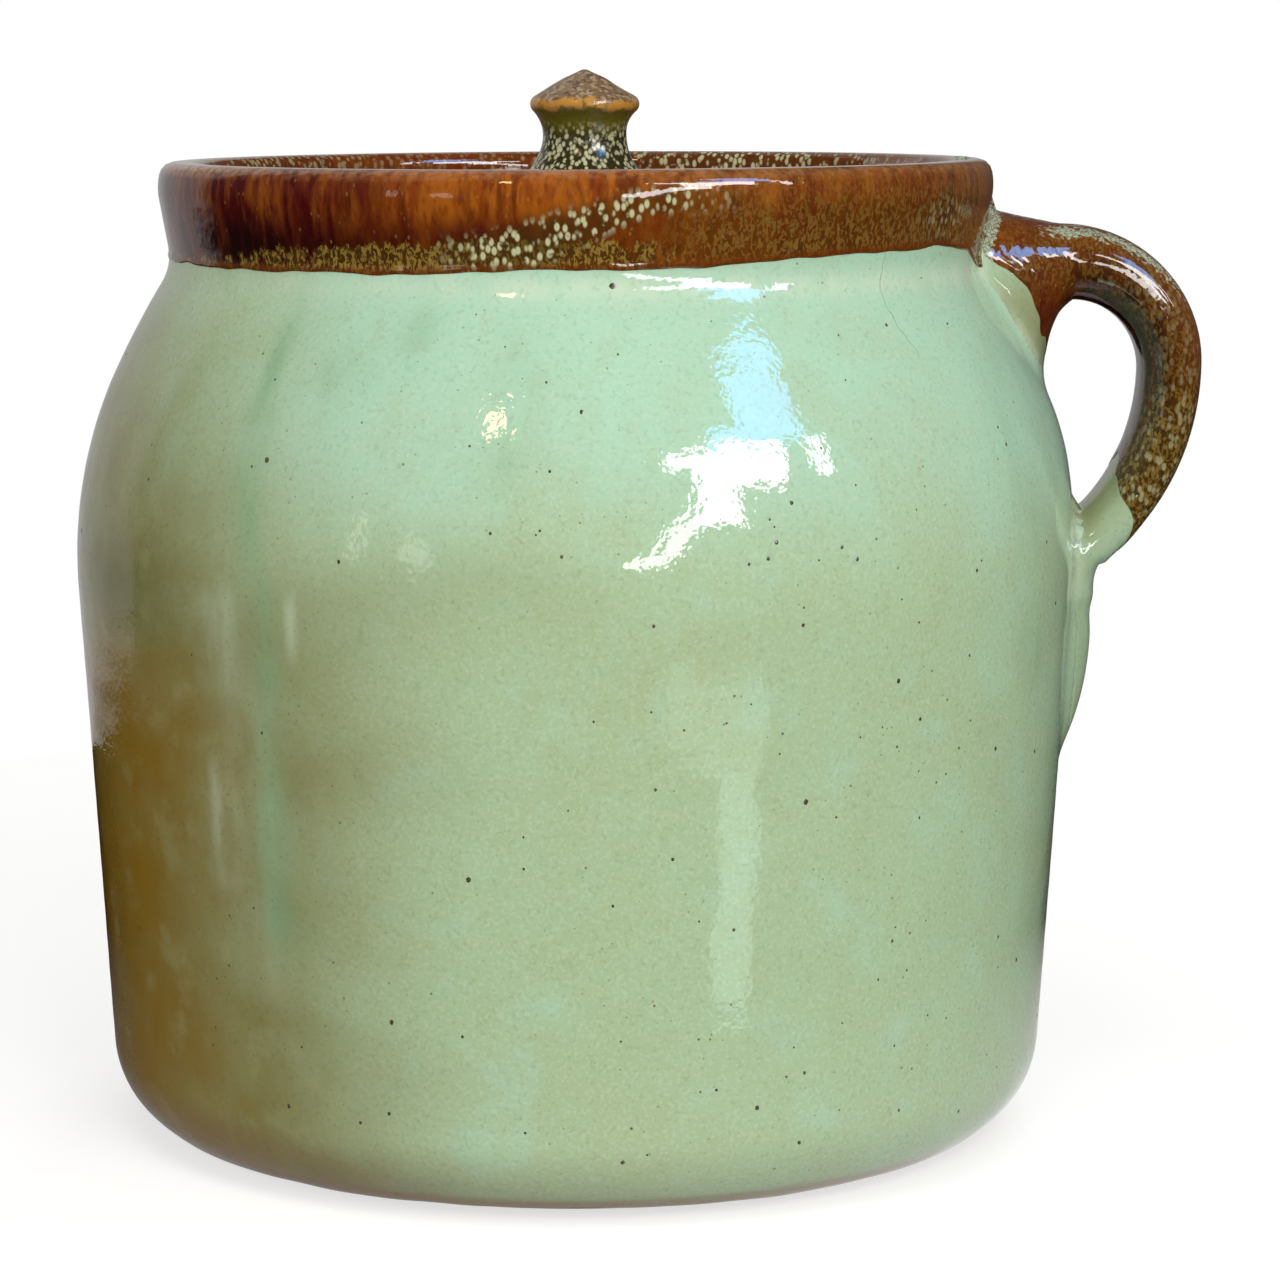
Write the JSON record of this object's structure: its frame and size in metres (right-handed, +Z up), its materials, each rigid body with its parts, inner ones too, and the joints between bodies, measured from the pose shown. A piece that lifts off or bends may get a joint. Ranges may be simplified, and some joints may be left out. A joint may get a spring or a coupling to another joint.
{
  "type": "ceramic storage jar",
  "caption": "Round glazed stoneware storage jar with a flared collar, a strap handle at one side and an inset lid that lifts off by its cone-topped knob.",
  "frame": {"origin": "middle of the flat base, on the plane that the jar stands on", "axes": "+Z up along the jar's axis, +X towards the handle"},
  "size_m": [0.226, 0.2, 0.2113],
  "materials": {
    "stoneware": "bare fired stoneware clay",
    "celadon_glaze": "glossy pale green glaze with fine iron specks",
    "iron_glaze": "glossy iron brown glaze with pale flecks",
    "liner_glaze": "glossy grey-green liner glaze",
    "mottled_glaze": "glossy mottled brown and olive glaze"
  },
  "bodies": {
    "jar": {"pot_clay": "stoneware", "handle_clay": "stoneware", "celadon_glaze": "celadon_glaze", "collar_glaze": "iron_glaze", "liner_glaze": "liner_glaze", "handle_brown_glaze": "iron_glaze", "handle_green_glaze": "celadon_glaze"},
    "lid": {"lid_clay": "stoneware", "knob_clay": "stoneware", "lid_glaze": "iron_glaze", "knob_glaze": "mottled_glaze"}
  },
  "joints": [
    {"name": "lid_lift", "type": "slide", "parent": "jar", "child": "lid", "axis": [0, 0, 1], "range_m": [0, 0.1]}
  ]
}
